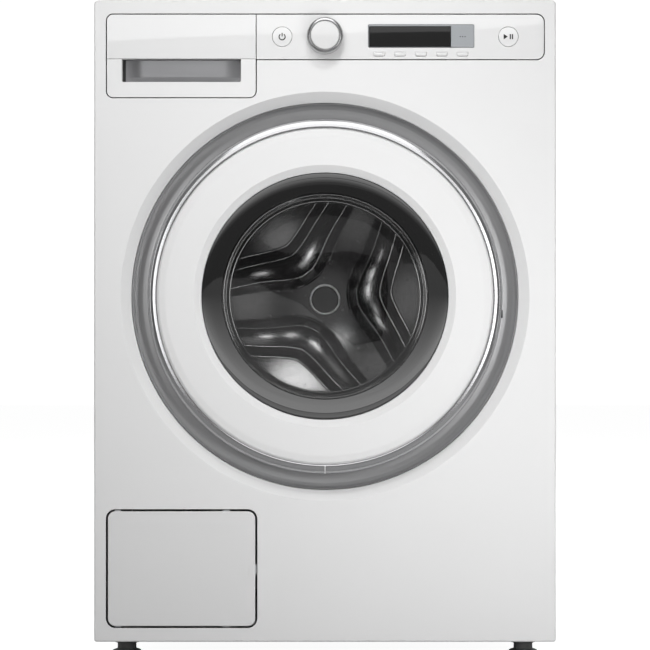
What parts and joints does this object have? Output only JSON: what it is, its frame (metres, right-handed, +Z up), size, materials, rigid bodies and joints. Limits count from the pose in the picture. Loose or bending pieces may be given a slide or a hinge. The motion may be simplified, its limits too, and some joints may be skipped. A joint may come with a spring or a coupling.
{
  "type": "washing machine",
  "caption": "Free-standing front-loading washing machine with a round dished door, detergent drawer, programme knob, display and service flap.",
  "frame": {"origin": "on the floor, under the middle of the machine's bounding box", "axes": "+Z up, +X to the right of someone who faces the front, +Y from the front to the back"},
  "size_m": [0.595, 0.605, 0.85],
  "materials": {
    "front_panel": "gloss",
    "door_recess_plate": "gloss",
    "side_panel_left": "gloss",
    "side_panel_right": "gloss",
    "top_cover": "satin",
    "rear_panel": "satin",
    "base_tray": "satin",
    "control_panel": "gloss",
    "drawer_front": "gloss",
    "door_cover": "gloss",
    "knob_cap": "gloss",
    "power_button": "gloss",
    "start_button": "gloss",
    "option_key_1": "gloss",
    "option_key_2": "gloss",
    "option_key_3": "gloss",
    "option_key_4": "gloss",
    "option_key_5": "gloss",
    "filter_flap": "satin",
    "display_frame": "satin",
    "display_window": "gloss",
    "control_board": "matte",
    "knob_ring": "polished",
    "drawer_handle_plate": "satin",
    "drawer_tray": "satin",
    "dispenser_housing": "matte",
    "inlet_valve": "satin",
    "mains_inlet": "satin",
    "pump_housing": "matte",
    "filter_cap": "satin",
    "door_surround_ring": "satin",
    "door_trim_ring": "polished",
    "door_window": "gloss",
    "door_bowl": "gloss",
    "door_inner_frame": "satin",
    "door_seal": "matte",
    "door_hinge_leaf": "satin",
    "door_hinge_bracket": "satin",
    "latch_hook": "satin",
    "door_lock": "matte",
    "tub_front": "matte",
    "tub_rear": "matte",
    "tub_cradle": "satin",
    "motor": "satin",
    "motor_pulley": "satin",
    "drive_belt": "matte",
    "counterweight": "matte",
    "drum_shell": "gloss",
    "drum_back": "gloss",
    "drum_pulley": "satin",
    "foot_front_left": "matte",
    "damper_body_front_left": "matte",
    "foot_front_right": "matte",
    "damper_body_front_right": "matte",
    "foot_rear_left": "matte",
    "damper_body_rear_left": "matte",
    "foot_rear_right": "matte",
    "damper_body_rear_right": "matte",
    "suspension_spring_left": "satin",
    "suspension_spring_right": "satin"
  },
  "bodies": {
    "cabinet": {"front_panel": "front_panel", "side_panel_left": "side_panel_left", "side_panel_right": "side_panel_right", "rear_panel": "rear_panel", "top_cover": "top_cover", "base_tray": "base_tray", "control_panel": "control_panel", "display_frame": "display_frame", "display_window": "display_window", "control_board": "control_board", "dispenser_housing": "dispenser_housing", "inlet_valve": "inlet_valve", "mains_inlet": "mains_inlet", "pump_housing": "pump_housing", "door_surround_ring": "door_surround_ring", "door_lock": "door_lock", "door_hinge_bracket": "door_hinge_bracket", "door_recess_plate": "door_recess_plate", "damper_body_front_left": "damper_body_front_left", "damper_body_front_right": "damper_body_front_right", "damper_body_rear_left": "damper_body_rear_left", "damper_body_rear_right": "damper_body_rear_right", "suspension_spring_left": "suspension_spring_left", "suspension_spring_right": "suspension_spring_right"},
    "foot_front_left": {"foot_front_left": "foot_front_left"},
    "foot_front_right": {"foot_front_right": "foot_front_right"},
    "foot_rear_left": {"foot_rear_left": "foot_rear_left"},
    "foot_rear_right": {"foot_rear_right": "foot_rear_right"},
    "power_button": {"power_button": "power_button"},
    "start_button": {"start_button": "start_button"},
    "option_key_1": {"option_key_1": "option_key_1"},
    "option_key_2": {"option_key_2": "option_key_2"},
    "option_key_3": {"option_key_3": "option_key_3"},
    "option_key_4": {"option_key_4": "option_key_4"},
    "option_key_5": {"option_key_5": "option_key_5"},
    "knob": {"knob_ring": "knob_ring", "knob_cap": "knob_cap"},
    "drawer": {"drawer_front": "drawer_front", "drawer_handle_plate": "drawer_handle_plate", "drawer_tray": "drawer_tray"},
    "filter_flap": {"filter_flap": "filter_flap"},
    "filter_cap": {"filter_cap": "filter_cap"},
    "door": {"door_trim_ring": "door_trim_ring", "door_cover": "door_cover", "door_window": "door_window", "door_bowl": "door_bowl", "door_inner_frame": "door_inner_frame", "door_seal": "door_seal", "door_hinge_leaf": "door_hinge_leaf"},
    "latch_hook": {"latch_hook": "latch_hook"},
    "tub": {"tub_front": "tub_front", "tub_rear": "tub_rear", "tub_cradle": "tub_cradle", "motor": "motor", "drive_belt": "drive_belt", "counterweight": "counterweight"},
    "drum": {"drum_shell": "drum_shell", "drum_back": "drum_back", "drum_pulley": "drum_pulley"},
    "motor_pulley": {"motor_pulley": "motor_pulley"}
  },
  "joints": [
    {"name": "door_hinge", "type": "hinge", "parent": "cabinet", "child": "door", "pos_m": [-0.202, -0.2875, 0.4685], "axis": [0, 0, -1], "range_deg": [0, 130]},
    {"name": "latch_pivot", "type": "hinge", "parent": "door", "child": "latch_hook", "pos_m": [0.192, -0.2565, 0.4685], "axis": [0, 0, 1], "range_deg": [0, 7], "stiffness_Nm_per_rad": 0.5, "springref_deg": -5.73},
    {"name": "drawer_slide", "type": "slide", "parent": "cabinet", "child": "drawer", "axis": [0, -1, 0], "range_m": [0, 0.215]},
    {"name": "knob_turn", "type": "hinge", "parent": "cabinet", "child": "knob", "pos_m": [0, -0.2825, 0.8027], "axis": [0, 1, 0], "continuous": true},
    {"name": "power_button_press", "type": "slide", "parent": "cabinet", "child": "power_button", "axis": [0, 1, 0], "range_m": [0, 0.0012], "stiffness_N_per_m": 500, "springref_m": -0.002},
    {"name": "start_button_press", "type": "slide", "parent": "cabinet", "child": "start_button", "axis": [0, 1, 0], "range_m": [0, 0.0012], "stiffness_N_per_m": 500, "springref_m": -0.002},
    {"name": "option_key_1_press", "type": "slide", "parent": "cabinet", "child": "option_key_1", "axis": [0, 1, 0], "range_m": [0, 0.001], "stiffness_N_per_m": 400, "springref_m": -0.0015},
    {"name": "option_key_2_press", "type": "slide", "parent": "cabinet", "child": "option_key_2", "axis": [0, 1, 0], "range_m": [0, 0.001], "stiffness_N_per_m": 400, "springref_m": -0.0015},
    {"name": "option_key_3_press", "type": "slide", "parent": "cabinet", "child": "option_key_3", "axis": [0, 1, 0], "range_m": [0, 0.001], "stiffness_N_per_m": 400, "springref_m": -0.0015},
    {"name": "option_key_4_press", "type": "slide", "parent": "cabinet", "child": "option_key_4", "axis": [0, 1, 0], "range_m": [0, 0.001], "stiffness_N_per_m": 400, "springref_m": -0.0015},
    {"name": "option_key_5_press", "type": "slide", "parent": "cabinet", "child": "option_key_5", "axis": [0, 1, 0], "range_m": [0, 0.001], "stiffness_N_per_m": 400, "springref_m": -0.0015},
    {"name": "filter_flap_hinge", "type": "hinge", "parent": "cabinet", "child": "filter_flap", "pos_m": [-0.2668, -0.2795, 0.1176], "axis": [0, 0, -1], "range_deg": [0, 100]},
    {"name": "filter_cap_turn", "type": "hinge", "parent": "cabinet", "child": "filter_cap", "pos_m": [-0.185, -0.2525, 0.1], "axis": [0, -1, 0], "range_deg": [0, 90]},
    {"name": "tub_suspension", "type": "slide", "parent": "cabinet", "child": "tub", "axis": [0, 0, 1], "range_m": [-0.01, 0.01], "stiffness_N_per_m": 32000, "springref_m": 0.01298, "deforming": ["suspension_spring_left", "suspension_spring_right"]},
    {"name": "drum_spin", "type": "hinge", "parent": "tub", "child": "drum", "pos_m": [0, -0.0425, 0.4685], "axis": [0, 1, 0], "continuous": true},
    {"name": "motor_pulley_spin", "type": "hinge", "parent": "tub", "child": "motor_pulley", "pos_m": [0.06, 0.2095, 0.112], "axis": [0, 1, 0], "continuous": true},
    {"name": "foot_front_left_height", "type": "slide", "parent": "cabinet", "child": "foot_front_left", "axis": [0, 0, -1], "range_m": [0, 0.018]},
    {"name": "foot_front_right_height", "type": "slide", "parent": "cabinet", "child": "foot_front_right", "axis": [0, 0, -1], "range_m": [0, 0.018]},
    {"name": "foot_rear_left_height", "type": "slide", "parent": "cabinet", "child": "foot_rear_left", "axis": [0, 0, -1], "range_m": [0, 0.018]},
    {"name": "foot_rear_right_height", "type": "slide", "parent": "cabinet", "child": "foot_rear_right", "axis": [0, 0, -1], "range_m": [0, 0.018]}
  ],
  "couplings": [
    {"joint": "motor_pulley_spin", "follows": "drum_spin", "ratio": 11.667}
  ]
}
